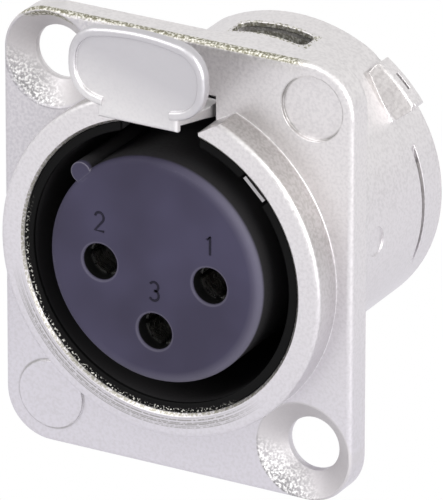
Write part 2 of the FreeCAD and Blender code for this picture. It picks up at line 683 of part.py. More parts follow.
def make_latch():
    """The rocking latch: push tab with its chin, neck over the mouth, pivot hub, arm and hook."""
    body = new_body("push_latch")
    tab_height = f"({BORE} + tab_rise)"
    facing = FreeCAD.Rotation(Vector(1, 0, 0), -SIZE["tab_lean"]).multVec(Vector(0, -1, 0))
    face_place = Vector(0, -SIZE["tab_front"], SIZE["bore_diameter"] / 2 + SIZE["tab_rise"])

    def tab_sketch(name, depth="0"):
        place = f"tab_front - {depth} / cos(tab_lean * 1 deg)"
        sketch = new_sketch(body, name, "XZ_Plane", place, "-(tab_lean)")
        bind(sketch, AttachmentOffset__Base__y=tab_height)
        return sketch

    def lies_at(edge, depth):
        """Whether the ends of an edge lie this far behind the front plane of the tab."""
        return all(abs((face_place - end.Point).dot(facing) - depth) < 1e-6 for end in edge.Vertexes)

    def on_corner(edge, across):
        return (isinstance(edge.Curve, Part.Line) and abs(abs(edge.firstVertex().X) - across) < 1e-6
                and abs(abs(edge.lastVertex().X) - across) < 1e-6)

    recess_width = SIZE["tab_half_width"] - SIZE["tab_rim"]
    recess_height = SIZE["tab_half_height"] - SIZE["tab_rim"]

    def round_recess(edge):
        """Whether an edge of the front plane runs round the recess, not round the tab."""
        middle = edge.valueAt((edge.FirstParameter + edge.LastParameter) / 2)
        inside = abs(middle.x) < recess_width + 1e-3 and abs(middle.z - face_place.z) < recess_height + 1e-3
        return lies_at(edge, 0) and inside

    def round_tab(edge):
        return lies_at(edge, 0) and not round_recess(edge)

    tab = tab_sketch("Tab")
    cushion(tab, "0")
    pad(tab, "tab_thickness", reverse=True)
    corner = SIZE["tab_corner_across"]
    dress(body, "PartDesign::Fillet", "Radius", "tab_corner_radius", lambda edge: on_corner(edge, corner))
    recess = tab_sketch("Recess")
    cushion(recess, "tab_rim")
    pocket(recess, "tab_recess")
    inner_corner = corner - SIZE["tab_rim"]
    dress(body, "PartDesign::Fillet", "Radius", "tab_corner_radius - tab_rim",
          lambda edge: on_corner(edge, inner_corner))
    dress(body, "PartDesign::Fillet", "Radius", "tab_edge", round_tab)
    dress(body, "PartDesign::Fillet", "Radius", "tab_inner_edge", round_recess)
    opening = tab_sketch("RimOpening")
    rectangle(opening, "-(rim_opening / 2)", "rim_opening / 2", "-(chin_drop)", "-(tab_half_height / 2)")
    pocket(opening, "tab_recess")

    chin = tab_sketch("Chin", "tab_recess")
    rectangle(chin, "-(chin_half_width)", "chin_half_width", "-(chin_drop)", "-(tab_half_height / 2)")
    pad(chin, "tab_thickness - tab_recess", reverse=True)
    chin_edge = SIZE["chin_half_width"]
    recess_depth, thickness = SIZE["tab_recess"], SIZE["tab_thickness"]
    chin_foot = face_place.z - SIZE["chin_drop"]

    def on_chin(edge):
        low = edge.CenterOfMass.z < chin_foot + 0.1
        return lies_at(edge, recess_depth) and (on_corner(edge, chin_edge) or low)

    dress(body, "PartDesign::Fillet", "Radius", "tab_edge", on_chin)
    dress(body, "PartDesign::Fillet", "Radius", "tab_back_edge", lambda edge: lies_at(edge, thickness))

    neck = new_sketch(body, "Neck", "YZ_Plane")
    hub_top, hub_under = f"{PIN} + hub_diameter / 2", f"{PIN} - hub_diameter / 2"
    under = f"{BORE} + neck_under_rise"
    over = f"{under} + neck_thickness"
    chin_under = f"{tab_height} - chin_drop + tab_edge"
    inside = "-(tab_front - tab_thickness / 2)"
    polygon(neck, ((inside, chin_under), ("-(neck_bend)", under),
                   ("pin_place", hub_under), ("pin_place", hub_top),
                   ("-(pin_clearance)", hub_top), ("-(flange_thickness / 2)", over),
                   ("-(neck_bend)", over), (inside, f"{chin_under} + neck_thickness")))
    pad(neck, "latch_width", midplane=True)

    hub = new_sketch(body, "Hub", "YZ_Plane")
    circle(hub, "pin_place", PIN, "hub_diameter / 2")
    pad(hub, "latch_width", midplane=True)

    arm = new_sketch(body, "Arm", "YZ_Plane")
    rectangle(arm, "pin_place", ARM_END, f"{ARM} - arm_thickness", ARM)
    turned(arm, angle=f"2 * asin(latch_width / (2 * {ARM}))")

    hook = new_sketch(body, "Hook", "YZ_Plane")
    root = f"{ARM} - arm_thickness / 2"
    hook_tip = f"{BORE} - hook_depth"
    polygon(hook, ((f"{HOOK_BACK} - hook_length", root), (f"{HOOK_BACK} - hook_nose", hook_tip),
                   (HOOK_BACK, hook_tip), (HOOK_BACK, root)))
    pad(hook, "hook_width", midplane=True)

    pin_hole = new_sketch(body, "LatchPinHole", "YZ_Plane")
    circle(pin_hole, "pin_place", PIN, "pin_diameter / 2 + pin_clearance")
    pocket(pin_hole, "2 * latch_width", midplane=True)
    return body


parts = [make_housing(), make_insert(), make_retainer(), make_clip(), make_ground_contact(),
         make_latch(), make_pin(), make_latch_spring()]
parts += [make_contact(name, across, up) for name, (across, up) in contact_places().items()]
doc.recompute()

failed = [thing.Name for thing in doc.Objects if {"Invalid", "Error"} & set(thing.State)]
for part in parts:
    if part.Shape.isNull() or not part.Shape.isValid() or len(part.Shape.Solids) != 1:
        failed.append(part.Label)
if failed:
    raise RuntimeError("not sound: " + ", ".join(failed))

os.makedirs("parts", exist_ok=True)
for part in parts:
    part.Shape.exportStep(f"parts/{part.Label}.step")
    print(part.Label, round(part.Shape.Volume, 2), "mm3")
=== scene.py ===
# %% [markdown]
# # A panel socket in cast nickel and black plastic
#
# The socket is a small die casting with a moulded insert in its mouth, and a latch that is cast
# like the housing. Its pieces come from the imported frame at their real size, so the work here is
# their finish: each real surface was made in some way, and that way is what the eye reads.

# %% Load the frame
import math

import bpy
import numpy as np
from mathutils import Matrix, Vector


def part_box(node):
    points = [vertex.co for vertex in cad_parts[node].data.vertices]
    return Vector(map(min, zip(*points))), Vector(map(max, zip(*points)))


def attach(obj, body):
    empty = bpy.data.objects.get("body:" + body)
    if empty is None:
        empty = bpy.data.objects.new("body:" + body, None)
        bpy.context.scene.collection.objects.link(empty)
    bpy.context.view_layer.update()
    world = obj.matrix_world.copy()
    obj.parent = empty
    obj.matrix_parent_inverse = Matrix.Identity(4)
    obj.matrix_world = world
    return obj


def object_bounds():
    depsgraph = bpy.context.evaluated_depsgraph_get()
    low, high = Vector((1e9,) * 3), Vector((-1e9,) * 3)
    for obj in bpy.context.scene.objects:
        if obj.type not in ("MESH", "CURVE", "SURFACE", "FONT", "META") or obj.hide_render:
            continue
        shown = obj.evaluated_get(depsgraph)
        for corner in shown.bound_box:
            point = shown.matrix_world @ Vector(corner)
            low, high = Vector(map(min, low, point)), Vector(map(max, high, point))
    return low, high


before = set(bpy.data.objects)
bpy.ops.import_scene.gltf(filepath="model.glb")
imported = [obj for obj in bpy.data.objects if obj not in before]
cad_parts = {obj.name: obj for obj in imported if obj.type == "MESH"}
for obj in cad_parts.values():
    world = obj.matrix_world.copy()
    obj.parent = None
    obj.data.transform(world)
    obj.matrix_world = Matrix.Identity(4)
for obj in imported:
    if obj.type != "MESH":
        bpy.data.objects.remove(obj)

cad_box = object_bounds()
print("nodes:", ", ".join(sorted(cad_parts)))

# %% [markdown]
# Colours are written as sRGB hex values, as a paint chart gives them. The renderer works in
# linear light, so one function turns each channel by the sRGB curve.

# %% Colours and units
MM = 0.001
NOISE_MIDDLE = (0.3, 0.7)


def linear(code):
    """sRGB channel c becomes c / 12.92 below 0.04045, and ((c + 0.055) / 1.055) ** 2.4 above it."""
    channels = np.array([int(code[k:k + 2], 16) for k in (1, 3, 5)]) / 255
    bright = ((channels + 0.055) / 1.055) ** 2.4
    return (*np.where(channels <= 0.04045, channels / 12.92, bright), 1.0)


print("mid grey is", [round(value, 3) for value in linear("#808080")])

# %% [markdown]
# A material is a small graph. One helper adds a node of any kind, sets its own settings, and
# fills each input with a value or with a wire from another node, so a graph reads as a list.

# %% One helper for every node
def add(tree, kind, inputs=None, **settings):
    """Adds one shader node; inputs maps a socket's name or number to a value or a wire."""
    made = tree.nodes.new("ShaderNode" + kind)
    for name, value in settings.items():
        setattr(made, name, value)
    for name, value in (inputs or {}).items():
        if isinstance(value, bpy.types.NodeSocket):
            tree.links.new(value, made.inputs[name])
        else:
            made.inputs[name].default_value = value
    return made


def new_material(name):
    """An empty node material and its tree."""
    material = bpy.data.materials.new(name)
    material.use_nodes = True
    material.node_tree.nodes.clear()
    return material, material.node_tree


def finish_with(tree, shader):
    """Ends a graph in its shader."""
    add(tree, "OutputMaterial", {"Surface": shader.outputs[0]})


def grains_of(tree, place, size_mm, detail=2.0, roughness=0.5):
    """Noise whose grains are about size_mm across, from 0 to 1."""
    return add(tree, "TexNoise", {"Vector": place, "Scale": 1 / (size_mm * MM), "Detail": detail,
                                  "Roughness": roughness}).outputs["Fac"]


def between(tree, value, low, high, to_low=0.0, to_high=1.0):
    """Stretches a value from one range to another and holds it there."""
    return add(tree, "MapRange", {"Value": value, "From Min": low, "From Max": high,
                                  "To Min": to_low, "To Max": to_high}).outputs["Result"]


def blend_colours(tree, amount, low, high):
    """Mixes two colours by an amount from 0 to 1."""
    return add(tree, "Mix", {0: amount, 6: low, 7: high}, data_type="RGBA").outputs[2]


def product(tree, *values):
    """The product of several values."""
    result = values[0]
    for value in values[1:]:
        result = add(tree, "Math", {0: result, 1: value}, operation="MULTIPLY").outputs[0]
    return result


def largest(tree, *values):
    """The largest of several values."""
    result = values[0]
    for value in values[1:]:
        result = add(tree, "Math", {0: result, 1: value}, operation="MAXIMUM").outputs[0]
    return result


def spread_of(tree, noise, middle, spread):
    """Middle minus spread at a noise's usual low, and middle plus spread at its usual high."""
    return between(tree, noise, *NOISE_MIDDLE, middle - spread, middle + spread)


print("a noise lies mostly between", NOISE_MIDDLE)

# %% [markdown]
# A mark on a casting or moulding lies at a place on it, so a mask is worked out from where a point
# is: how far across, deep and up it lies, and how far from the bore's axis. Limits are in
# millimetres, and every mask has soft ends, because no mark on the real thing ends in a hard line.

# %% Masks by place
def along(tree, place, direction, origin=(0.0, 0.0, 0.0)):
    """How far, in metres, a place lies from an origin in mm along a direction."""
    moved = add(tree, "VectorMath", {0: place, 1: tuple(value * MM for value in origin)},
                operation="SUBTRACT")
    return add(tree, "VectorMath", {0: moved.outputs["Vector"], 1: direction},
               operation="DOT_PRODUCT").outputs["Value"]


def radius_about(tree, place, centre=(0.0, 0.0, 0.0)):
    """Distance from the line through a centre along Y: sqrt((x - cx)^2 + (z - cz)^2)."""
    flat = add(tree, "VectorMath", {0: place, 1: (1.0, 0.0, 1.0)}, operation="MULTIPLY")
    return add(tree, "VectorMath", {0: flat.outputs["Vector"], 1: centre},
               operation="DISTANCE").outputs["Value"]


def rising(tree, distance, start_mm, full_mm, none=0.0, whole=1.0):
    """Goes from none to whole between two distances in mm."""
    return between(tree, distance, start_mm * MM, full_mm * MM, none, whole)


def within(tree, distance, low_mm, high_mm, soft_mm):
    """1 between two distances in mm and 0 outside them, with soft ends."""
    return product(tree, rising(tree, distance, low_mm - soft_mm, low_mm + soft_mm),
                   rising(tree, distance, high_mm + soft_mm, high_mm - soft_mm))


def on_side(tree, place, direction, start_mm, full_mm, origin=(0.0, 0.0, 0.0)):
    """Goes from 0 to 1 between two distances in mm along a direction."""
    return rising(tree, along(tree, place, direction, origin), start_mm, full_mm)


def axes_of(tree, place):
    """How far across, deep and up a place lies, and its radius about the bore, in metres."""
    across, depth, up = (along(tree, place, axis) for axis in ((1, 0, 0), (0, 1, 0), (0, 0, 1)))
    return {"across": across, "depth": depth, "up": up, "radius": radius_about(tree, place)}


def region(tree, axes, limits_mm):
    """1 where every axis that is named lies within its limits: the product of their masks."""
    return product(tree, *(within(tree, axes[name], *limits) for name, limits in limits_mm.items()))


print("masks end softly, within a few hundredths of a millimetre or more")

# %% [markdown]
# ## Camera
#
# The photograph was taken from in front, a little above and to the right, with a long lens. The
# camera's place was fitted to the flange's corners and the mouth's rings, so it is a distance,
# two angles and a focal length in pixels, for a picture of 443 by 500 pixels.

# %% Camera
PICTURE = (443, 500)
AZIMUTH, ELEVATION = (math.radians(angle) for angle in (29.10, 23.45))
DISTANCE = 595.7 * MM
FOCAL_PX = 9078.5
AXIS_PX = (191.2, 245.0)
SENSOR_MM = 36.0

camera_data = bpy.data.cameras.new("camera")
camera = bpy.data.objects.new("camera", camera_data)
bpy.context.scene.collection.objects.link(camera)
camera.location = (DISTANCE * math.sin(AZIMUTH) * math.cos(ELEVATION),
                   -DISTANCE * math.cos(AZIMUTH) * math.cos(ELEVATION),
                   DISTANCE * math.sin(ELEVATION))
camera.rotation_euler = (math.pi / 2 - ELEVATION, 0.0, AZIMUTH)
camera_data.sensor_width = SENSOR_MM
camera_data.lens = FOCAL_PX / max(PICTURE) * SENSOR_MM
camera_data.shift_x = (PICTURE[0] / 2 - AXIS_PX[0]) / max(PICTURE)
camera_data.shift_y = (AXIS_PX[1] - PICTURE[1] / 2) / max(PICTURE)
bpy.context.scene.camera = camera
print(f"lens {camera_data.lens:.0f} mm at {DISTANCE:.3f} m")

# %% [markdown]
# ## Cast nickel
#
# The housing and the latch are die-cast zinc, tumbled and plated with nickel. The metal shows
# almost no colour of its own. Light and shade are painted into it by height: the housing is painted
# lighter and neutral at the top and darker, faintly lilac, below, and the latch's tab is painted
# darker at the top than at its foot. Under the plate is the sandy grain of the casting. It is
# nearer a tenth of a millimetre on the real metal, and is drawn twice as coarse so that it shows.
#
# Tumbling rounds the edges, so they catch the light as thin lines, and a lighter colour is painted
# on them as well, a painted highlight. They are found by comparing the true normal with one
# averaged
# over a small radius: the two differ only at an edge. The painted lines aren't even, because the
# rounded metal is as grainy as the faces beside it, and behind the flange they are weaker.

# %% Cast nickel
# The top and bottom colours paint light and shade by height; the edge colour is a painted
# highlight.
NICKEL = {"top": "#DDDADA", "bottom": "#D3D0D6", "grain": "#BCB9BA", "edge": "#EFEDEF"}
LATCH_NICKEL = {"top": "#C2C0C3", "bottom": "#DCDADA", "grain": "#B9B7BA", "edge": "#DEDCDF"}
GRAIN_MM = 0.22
EDGE_MM = 0.10
EDGE_GAIN = 3.0
BEVEL_SAMPLES = 8
# Painted light and shade by height change along this direction.
SHADE_DIRECTION = (0.3, 0.0, 1.0)
# Noise levels where a mark starts and is full, then how much of it shows at each.
SHADED = (0.58, 0.36)
EDGE_HIGHLIGHT = (0.42, 0.56, 0.2, 0.75)


def edge_mask(tree, radius_mm):
    """1 minus the dot product of the true and the averaged normal, times a gain: 0 on flats."""
    rounded = add(tree, "Bevel", {"Radius": radius_mm * MM}, samples=BEVEL_SAMPLES)
    true = add(tree, "NewGeometry").outputs["True Normal"]
    agree = add(tree, "VectorMath", {0: rounded.outputs["Normal"], 1: true},
                operation="DOT_PRODUCT")
    return (rounded.outputs["Normal"],
            between(tree, agree.outputs["Value"], 1.0, 1.0 - 1 / EDGE_GAIN))


def plated_colour(tree, place, edge, colours, shade_rise_mm, grain_share):
    """Painted light and shade by height, then the grain's shade, then the painted edge highlights
    broken up by the grain.
    """
    shade_by_height = rising(tree, along(tree, place, SHADE_DIRECTION), *shade_rise_mm)
    tone = blend_colours(tree, shade_by_height, linear(colours["bottom"]), linear(colours["top"]))
    grain = grains_of(tree, place, GRAIN_MM, 3.0)
    shade = between(tree, grain, *SHADED, 0.0, grain_share)
    grained = blend_colours(tree, shade, tone, linear(colours["grain"]))
    # Edges are painted lighter here, a painted highlight.
    painted_highlight = product(tree, edge, between(tree, grains_of(tree, place, GRAIN_MM), *EDGE_HIGHLIGHT))
    return grain, blend_colours(tree, painted_highlight, grained, linear(colours["edge"]))


print("casting grain", GRAIN_MM, "mm, rounded edges", EDGE_MM, "mm")

# %% [markdown]
# Some places on the housing are rougher than the rest, and each is found by where it lies. This
# cell covers these rough places and the light and shade painted on them. The front of the flange's
# top edge and the roof's window are painted with olive specks of painted shade and bright specks of
# painted glints, and the window's torn edge is speckled the same way. The window is found by its
# radius about the bore, which is the same above the axis and below it, so its specks also show on
# the tube's rear end, at the top and at the bottom. The cones of both countersinks are rougher than
# the flange and painted darker, a painted shade in the hollow, and their lower left side is pitted,
# with dark pits and painted bright glints.

# %% Pitted places on the housing
# Most of these colours paint light and shade: the olive and most greys are painted shade, glint and
# bright are painted glints, and hollow is the dark of pits.
MARKS = {"dark_grey": "#8D8B87", "glint": "#E0DED6", "dull": "#C6C3C4", "painted_olive_shade": "#827F6D",
         "painted_grey_shade": "#A5A19E", "hollow": "#7C7B7D", "bright": "#F2F1F0", "painted_flange_shade": "#BDBABF"}
SPECK_MM = 0.16
SPECK_LEVELS = (0.42, 0.68)
# Regions give low, high and half a soft end's width for each axis that they name, all in mm.
SCREW_PLACES_MM = ((-9.5, 12.0), (9.5, -12.0))
CONE_RADIUS_MM = (1.9, 3.5, 0.05)
CONE_DEPTH_MM = {"depth": (-2.1, -0.2, 0.05)}
PITTED_SIDE = ((-0.62, 0.0, -0.78), 1.5, 3.1)
CONE_SHARES = {"dull": 0.9, "pitted": 0.8}
# The top edge and the window are rough, and painted with specks of shade and glints.
TOP_EDGE_MM = {"up": (14.7, 20.0, 0.2), "across": (-20.0, 9.2, 0.6), "depth": (-1.985, -1.5, 0.02)}
WINDOW_MM = {
    "walls": {"across": (-2.9, 2.9, 0.05), "depth": (10.0, 12.2, 0.05),
              "radius": (10.7, 11.27, 0.03)},
    "inside": {"across": (-2.9, 2.9, 0.05), "depth": (10.0, 16.5, 0.05),
               "radius": (8.5, 10.7, 0.03)},
    "torn edge": {"across": (-3.05, 3.05, 0.05), "depth": (9.9, 12.35, 0.05),
                  "radius": (10.9, 11.6, 0.03)},
}
WINDOW_SHARE = 0.8
TORN = (0.5, 0.56)


def speckled(tree, place, amount, colour, dark, bright):
    """Replaces a colour by specks of a dark and a bright one, as far as the amount goes; they paint
    glints and shade, and in the countersinks the dark ones are pits.
    """
    noise = grains_of(tree, place, SPECK_MM, 1.0)
    specks = blend_colours(tree, between(tree, noise, *SPECK_LEVELS), linear(dark), linear(bright))
    return blend_colours(tree, amount, colour, specks)


def countersink_masks(tree, place, axes):
    """For each screw hole: the cone between two radii about its axis, and the cone's lower left."""
    in_flange = region(tree, axes, CONE_DEPTH_MM)
    cones, lower = [], []
    for x, z in SCREW_PLACES_MM:
        radius = radius_about(tree, place, (x * MM, 0.0, z * MM))
        cones.append(product(tree, in_flange, within(tree, radius, *CONE_RADIUS_MM)))
        lower.append(product(tree, cones[-1], on_side(tree, place, *PITTED_SIDE, (x, 0.0, z))))
    return largest(tree, *cones), largest(tree, *lower)


def pits_and_painted_specks(tree, place, axes, grain, colour):
    """Adds the pits, painted shade and painted glints; gives the colour, and where the metal is
    pitted and where dull.
    """
    cones, lower = countersink_masks(tree, place, axes)
    # The cones are painted darker, a painted shade in the hollow.
    colour = blend_colours(tree, product(tree, cones, CONE_SHARES["dull"]), colour,
                           linear(MARKS["dull"]))
    # Each cone's lower left gets dark pits and bright specks, which are painted glints.
    colour = speckled(tree, place, product(tree, lower, CONE_SHARES["pitted"]), colour,
                      MARKS["hollow"], MARKS["bright"])
    # Olive specks of painted shade and bright specks of painted glints on the top edge and the
    # window.
    rough_speckled = region(tree, axes, TOP_EDGE_MM)
    for name, limits_mm in WINDOW_MM.items():
        share = between(tree, grain, *TORN) if name == "torn edge" else WINDOW_SHARE
        rough_speckled = largest(tree, rough_speckled, product(tree, region(tree, axes, limits_mm), share))
    colour = speckled(tree, place, rough_speckled, colour, MARKS["painted_olive_shade"], MARKS["glint"])
    return colour, lower, largest(tree, cones, rough_speckled)


print("pitted places:", len(SCREW_PLACES_MM), "countersinks, the top edge and the window's",
      ", ".join(WINDOW_MM))

# %% [markdown]
# The other marks are mostly painted shade. The chamfer round the mouth is broken up by specks of
# painted shade, and fine dark rings are drawn on the collar's front at its lower left. The collar's
# outer wall is painted grey above the bore's axis, and the lug's ramp as grey, both painted shade.
# The flange is painted darker at its upper left, a painted shade. It has a round mark in two
# corners, whose rims are painted darker, a painted shade.

# %% Tool marks on the housing
MOUTH_MM = {"radius": (10.2, 10.38, 0.02)}
MOUTH_FRONT_MM = (-4.1, -4.2)
MOUTH_SHARE = 0.8
# Fine dark ring lines on the collar's front, on its lower left.
DARK_RINGS_MM = {"radius": (10.42, 11.25, 0.05)}
DARK_RINGS_FRONT_MM = (-4.2, -4.3)
DARK_RINGS_SIDE = ((-0.3, 0.0, -0.95), 5.0, 8.0)
DARK_RING_SPACING_MM = 0.10
DARK_RING_LEVELS = (0.44, 0.56)
DARK_RING_GRAINS = (0.36, 0.5)
DARK_RING_SHARE = 0.85
# The collar's outer wall above the bore's axis is painted grey, a painted shade.
COLLAR_SHADE_MM = {"radius": (11.78, 12.0, 0.05), "depth": (-4.15, -2.1, 0.1)}
COLLAR_SHADE_UP_MM = (-3.0, 4.0)
COLLAR_SHADE_GRAINS = (0.36, 0.6, 0.78, 0.5)
# The lug's ramp is painted grey as well, a painted shade on its lit face.
RAMP_MM = {"depth": (11.9, 13.05, 0.05)}
RAMP_ACROSS = (0.707, 0.0, -0.707)
RAMP_HALF_MM = 2.0
RAMP_SIDE = ((0.707, 0.0, 0.707), 10.42, 10.5)
RAMP_SHARE = 0.45
# The flange's upper left is painted darker, a painted shade.
FLANGE_SHADE_MM = {"depth": (-2.3, -1.9, 0.03)}
FLANGE_SHADE_SIDE = ((-0.85, 0.0, 0.53), 5.0, 10.5)
FLANGE_SHADE_GRAINS = (0.36, 0.6, 0.75, 0.35)
# The rims of the two round marks are painted darker, a painted shade.
ROUND_MARKS_MM = ((10.0, 12.4, 2.22), (-9.5, -12.0, 2.44))
MARK_FRONT_MM = (-1.2, -1.5)
MARK_RIM_MM = 0.07
MARK_SOFT_MM = 0.06
RIM_SHADE_MM = 1.5
RIM_SHADE_LEVELS = (0.38, 0.62, 0.1, 0.7)


def dark_rings(tree, place, axes, grain):
    """Rings about the bore: noise of the radius alone, cut by the grain, on the lower left."""
    lines = add(tree, "TexNoise", {"W": axes["radius"], "Scale": 1 / (DARK_RING_SPACING_MM * MM),
                                   "Detail": 1.0}, noise_dimensions="1D").outputs["Fac"]
    return product(tree, region(tree, axes, DARK_RINGS_MM),
                   rising(tree, axes["depth"], *DARK_RINGS_FRONT_MM),
                   on_side(tree, place, *DARK_RINGS_SIDE),
                   between(tree, lines, *DARK_RING_LEVELS), between(tree, grain, *DARK_RING_GRAINS))


def lug_ramp(tree, place, axes):
    """The lug's front, which lies on the diagonal outside the tube, where painted shade goes."""
    return product(tree, region(tree, axes, RAMP_MM),
                   within(tree, along(tree, place, RAMP_ACROSS), -RAMP_HALF_MM, RAMP_HALF_MM, 0.03),
                   on_side(tree, place, *RAMP_SIDE))


def paint_shade_and_rings(tree, place, axes, grain, colour):
    """Adds the dark rings and the painted shade, one after another, and gives the colour."""
    # Olive and grey specks on the mouth's chamfer are painted shade over its highlight.
    mouth_shade_specks = product(tree, region(tree, axes, MOUTH_MM),
                    rising(tree, axes["depth"], *MOUTH_FRONT_MM), MOUTH_SHARE)
    colour = speckled(tree, place, mouth_shade_specks, colour, MARKS["painted_olive_shade"], MARKS["dull"])
    painted_grey_shade = product(tree, region(tree, axes, COLLAR_SHADE_MM), rising(tree, axes["up"], *COLLAR_SHADE_UP_MM),
                    between(tree, grain, *COLLAR_SHADE_GRAINS))
    painted_flange_shade = product(tree, region(tree, axes, FLANGE_SHADE_MM), on_side(tree, place, *FLANGE_SHADE_SIDE),
                      between(tree, grain, *FLANGE_SHADE_GRAINS))
    # Dark rings, then painted shade on the collar's wall, the lug's ramp and the flange's upper
    # left.
    for amount, tone in ((product(tree, dark_rings(tree, place, axes, grain), DARK_RING_SHARE), "dark_grey"),
                         (painted_grey_shade, "painted_grey_shade"),
                         (product(tree, lug_ramp(tree, place, axes), RAMP_SHARE), "painted_grey_shade"),
                         (painted_flange_shade, "painted_flange_shade")):
        colour = blend_colours(tree, amount, colour, linear(MARKS[tone]))
    in_front = rising(tree, axes["depth"], *MARK_FRONT_MM)
    rim_shade = between(tree, grains_of(tree, place, RIM_SHADE_MM), *RIM_SHADE_LEVELS)
    for x, z, rim_mm in ROUND_MARKS_MM:
        rim = within(tree, radius_about(tree, place, (x * MM, 0.0, z * MM)),
                     rim_mm - MARK_RIM_MM, rim_mm + MARK_RIM_MM, MARK_SOFT_MM)
        colour = blend_colours(tree, product(tree, rim, in_front, rim_shade), colour,
                               linear(MARKS["dark_grey"]))
    return colour


print("round marks in the flange:", len(ROUND_MARKS_MM))

# %% [markdown]
# Both castings share one recipe. The latch is the plain one, and the housing adds its marks,
# painted shade and painted glints to the colour, a deeper bump where it is pitted, and more
# roughness where it is dull.

# %% The two castings
EDGE_FADE_MM = (0.5, 2.0, 1.0, 0.3)
# Heights over which the painted light and shade change, on the housing and on the latch.
HOUSING_SHADE_RISE_MM = (-12.0, 12.0)
LATCH_SHADE_RISE_MM = (11.5, 15.0)
BUMP_STRENGTHS = (0.25, 0.6)
BUMP_DEPTH_MM = 0.02
DULL_ROUGHNESS = 0.62
ROUGHNESS_SPREAD = 0.06


def cast_nickel(name, colours, shade_rise_mm, roughness, grain_share, marked):
    """Satin plated casting with light and shade painted by height and painted edge highlights;
    marked adds the housing's pits, dark rings, painted shade and painted glints.
    """
    material, tree = new_material(name)
    place = add(tree, "TexCoord").outputs["Object"]
    axes = axes_of(tree, place)
    normal, edge = edge_mask(tree, EDGE_MM)
    edge = product(tree, edge, rising(tree, axes["depth"], *EDGE_FADE_MM))
    grain, colour = plated_colour(tree, place, edge, colours, shade_rise_mm, grain_share)
    strength = BUMP_STRENGTHS[0]
    if marked:
        colour, pitted, dull = pits_and_painted_specks(tree, place, axes, grain, colour)
        colour = paint_shade_and_rings(tree, place, axes, grain, colour)
        strength = between(tree, pitted, 0.0, 1.0, *BUMP_STRENGTHS)
        roughness = between(tree, dull, 0.0, 1.0, roughness, DULL_ROUGHNESS)
    bump = add(tree, "Bump", {"Height": grain, "Strength": strength,
                              "Distance": BUMP_DEPTH_MM * MM, "Normal": normal})
    uneven = add(tree, "Math", {0: roughness, 1: spread_of(tree, grain, 0.0, ROUGHNESS_SPREAD)},
                 operation="ADD")
    finish_with(tree, add(tree, "BsdfPrincipled", {"Base Color": colour, "Metallic": 1.0,
                                                   "Roughness": uneven.outputs[0],
                                                   "Normal": bump.outputs["Normal"]}))
    return material


housing_metal = cast_nickel("zinc_die_cast_nickel_plated", NICKEL, HOUSING_SHADE_RISE_MM,
                            roughness=0.44, grain_share=0.35, marked=True)
latch_metal = cast_nickel("zinc_die_cast_polished_nickel_plated", LATCH_NICKEL, LATCH_SHADE_RISE_MM,
                          roughness=0.48, grain_share=0.2, marked=False)
print("castings:", housing_metal.name, "and", latch_metal.name)

# %% [markdown]
# ## Black plastic
#
# The insert is a glass-filled thermoplastic, injection moulded. The mould's end wall was spark
# eroded, so the core's face is a matt dark violet grey. Its pits are about 0.06 mm across, and are
# drawn three times as coarse so that they show. Everything behind the face is black plastic painted
# darker than the face, a painted shade: the core's side and the sleeve are black, and the holes and
# the sleeve's front are painted near black.
#
# The face's edges are painted lighter as painted highlights, most on the core's rim on the right
# and below, and a little on the rims of the holes.
# A few bright glints are painted along the sleeve's front at its lower left.

# %% Moulded black plastic
# Behind the face the plastic is black and painted darker than the face, as painted shade; the near
# black is a deeper painted shade, the light grey a painted highlight and the pale colour painted
# glints.
PLASTIC = {"face": "#423F52", "dull": "#393646", "black": "#2C2B2C", "painted_deep_shade": "#0C0C0C",
           "rim": "#87848F", "painted_glint": "#E6E4DA"}
SPARK_MM = 0.18
TONE_MM = 6.0
TONE_LEVELS = (0.35, 0.65)
PLASTIC_EDGE_MM = 0.2
EDGE_HIGHLIGHT_SHARE = 0.85
FACE_MM = (-4.72, -4.84)
ROUNDED_MM = {"radius": (6.9, 8.85, 0.05)}
ROUNDED_DEPTH_MM = (-4.35, -4.62)
HOLES_MM = (6.7, 6.6)
# The core's rim on the right and below and the holes' rims are painted lighter, painted highlights.
CORE_HIGHLIGHT_MM = {"radius": (7.45, 8.4, 0.4)}
CORE_HIGHLIGHT_SIDE = ((0.94, 0.0, -0.34), -3.0, 4.0)
CONTACT_PLACES_MM = ((4.1, -0.2), (-4.1, -0.2), (0.0, -4.3))
HOLE_HIGHLIGHT_MM = (1.28, 1.42, 0.04)
HIGHLIGHT_SHARES = {"core": 0.3, "hole": 0.15}
# The sleeve's front is painted near black, a painted shade.
SLEEVE_END_SHADE_MM = {"depth": (-4.25, -3.9, 0.02), "radius": (9.3, 10.4, 0.1)}
# Bright specks painted along the sleeve's front at its lower left are painted glints.
SLEEVE_GLINTS_MM = {"depth": (-4.25, -3.9, 0.02), "radius": (9.95, 10.4, 0.1)}
SLEEVE_GLINT_SIDE = ((-0.6, 0.0, -0.8), 3.0, 8.0)
SLEEVE_GLINT_LEVELS = (0.56, 0.62)
SPARK_STRENGTH = 0.2
SPARK_DEPTH_MM = 0.015
SPARK_SPREAD = 0.05


def painted_rim_highlights(tree, place, axes):
    """Where highlights are painted: the core's rim on one side, and a narrow ring about each hole.
    """
    painted_highlight = product(tree, region(tree, axes, CORE_HIGHLIGHT_MM), on_side(tree, place, *CORE_HIGHLIGHT_SIDE),
                     HIGHLIGHT_SHARES["core"])
    for x, z in CONTACT_PLACES_MM:
        ring = within(tree, radius_about(tree, place, (x * MM, 0.0, z * MM)), *HOLE_HIGHLIGHT_MM)
        painted_highlight = largest(tree, painted_highlight, product(tree, ring, HIGHLIGHT_SHARES["hole"]))
    return painted_highlight


